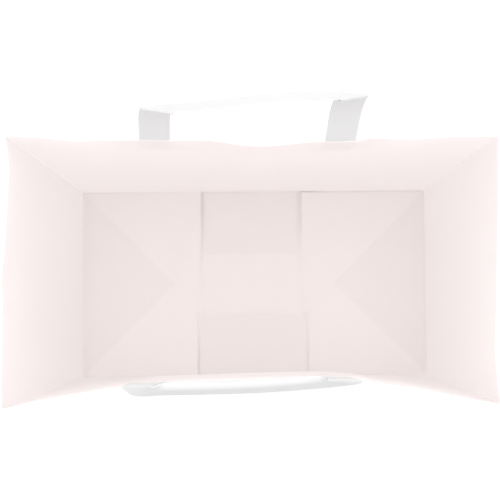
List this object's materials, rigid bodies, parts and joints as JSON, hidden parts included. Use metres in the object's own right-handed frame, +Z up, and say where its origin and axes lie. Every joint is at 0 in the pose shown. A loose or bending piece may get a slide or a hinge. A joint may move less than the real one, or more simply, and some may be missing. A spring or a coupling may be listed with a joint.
{
  "type": "paper carrier bag with flat handles",
  "caption": "Open block-bottom paper carrier bag, standing empty, with a pinked and folded bottom and flat folded paper handles on its long panels.",
  "frame": {"origin": "centre of the base's rectangle, on the surface that the bag stands on", "axes": "+Z up to the open mouth, +X along the long panels, +Y towards the back panel, the upper one in the picture"},
  "size_m": [0.26, 0.1548, 0.4025],
  "materials": {
    "bag_paper": "uncoated, matt, very pale rosy white",
    "handle_paper": "uncoated, matt, neutral white",
    "patch_paper": "uncoated, matt, very pale rosy white"
  },
  "bodies": {
    "root": {"bag_body": "bag_paper", "front_handle": "handle_paper", "back_handle": "handle_paper", "front_patch": "patch_paper", "back_patch": "patch_paper"}
  },
  "joints": []
}
